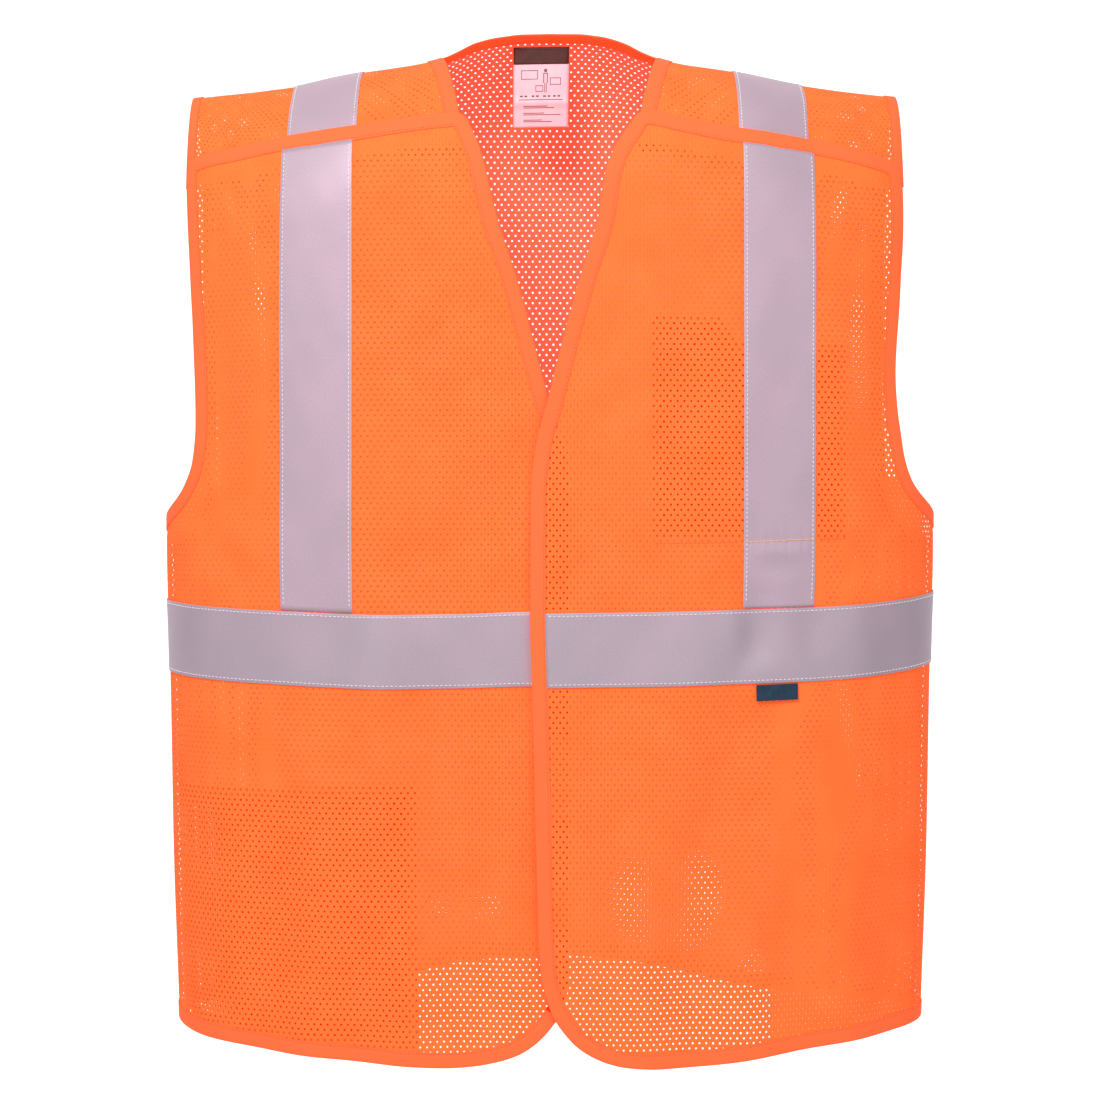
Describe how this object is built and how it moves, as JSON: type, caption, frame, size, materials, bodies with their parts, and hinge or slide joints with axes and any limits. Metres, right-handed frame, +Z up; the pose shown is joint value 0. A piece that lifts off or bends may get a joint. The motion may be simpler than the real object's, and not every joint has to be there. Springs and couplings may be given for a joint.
{
  "type": "high visibility vest",
  "caption": "Sleeveless open-front mesh safety vest with crossed centre closure, bound edges, reflective tapes and hook-and-loop breakaway shoulders, sides and front.",
  "frame": {"origin": "the shoulder rest: midway between the shoulders at the mean height of the shoulder ridge", "axes": "+Z up, the wearer faces -Y, +X to the wearer's left"},
  "size_m": [0.5532, 0.2284, 0.7356],
  "materials": {
    "mesh_fabric": "fluorescent orange warp-knit polyester mesh with small staggered holes, soft and slightly see-through",
    "binding": "fluorescent orange woven edge binding folded round the edge, one stitch line near its inner edge",
    "reflective_tape": "silver-grey retroreflective fabric tape with a lilac cast, white lockstitch near both long edges",
    "hook_tape": "orange hook tape with rows of small stiff hooks",
    "loop_tape": "orange loop tape with a soft brushed pile",
    "label": "thin white satin label with a dark brown blank header band",
    "tab": "dark navy woven tab, plain"
  },
  "bodies": {
    "back": {"shoulder_loop_left": "loop_tape", "side_loop_left": "loop_tape", "shoulder_loop_right": "loop_tape", "side_loop_right": "loop_tape", "back_panel": "mesh_fabric", "back_neck_binding": "binding", "back_armhole_binding_right": "binding", "back_side_binding_right": "binding", "back_armhole_binding_left": "binding", "back_side_binding_left": "binding", "back_hem_binding": "binding", "back_right_shoulder_tape": "reflective_tape", "back_left_shoulder_tape": "reflective_tape", "back_waist_tape": "reflective_tape"},
    "front_left": {"front_left_panel": "mesh_fabric", "front_left_edge_binding": "binding", "front_left_side_binding": "binding", "front_left_shoulder_tape": "reflective_tape", "front_left_waist_tape": "reflective_tape", "shoulder_hook_left": "hook_tape", "side_hook_left": "hook_tape", "centre_hook_1": "hook_tape", "centre_hook_2": "hook_tape", "centre_hook_3": "hook_tape", "chest_pocket": "mesh_fabric"},
    "front_right": {"front_right_panel": "mesh_fabric", "front_right_edge_binding": "binding", "front_right_side_binding": "binding", "front_right_shoulder_tape": "reflective_tape", "front_right_waist_tape": "reflective_tape", "shoulder_hook_right": "hook_tape", "side_hook_right": "hook_tape", "centre_loop_1": "loop_tape", "centre_loop_2": "loop_tape", "centre_loop_3": "loop_tape", "lower_pocket": "mesh_fabric"},
    "neck_label": {"neck_label": "label"},
    "hem_tab": {"hem_tab": "tab"}
  },
  "joints": [
    {"name": "front_left_open", "type": "hinge", "parent": "back", "child": "front_left", "pos_m": [0.2729, 0.0042, -0.33], "axis": [0.0268, 0, 0.9996], "range_deg": [0, 100]},
    {"name": "front_right_open", "type": "hinge", "parent": "back", "child": "front_right", "pos_m": [-0.2729, 0.0042, -0.33], "axis": [-0.0268, 0, 0.9996], "range_deg": [-86, 0]},
    {"name": "neck_label_lift", "type": "hinge", "parent": "back", "child": "neck_label", "pos_m": [-0.007, 0.05571, 0.034], "axis": [-1, 0, 0], "range_deg": [0, 90]},
    {"name": "hem_tab_lift", "type": "hinge", "parent": "front_left", "child": "hem_tab", "pos_m": [0.15493, -0.10283, -0.42829], "axis": [-0.9734, -0.2274, -0.0261], "range_deg": [0, 120]}
  ],
  "couplings": [
    {"joint": "front_right_open", "follows": "front_left_open", "ratio": -0.85}
  ]
}
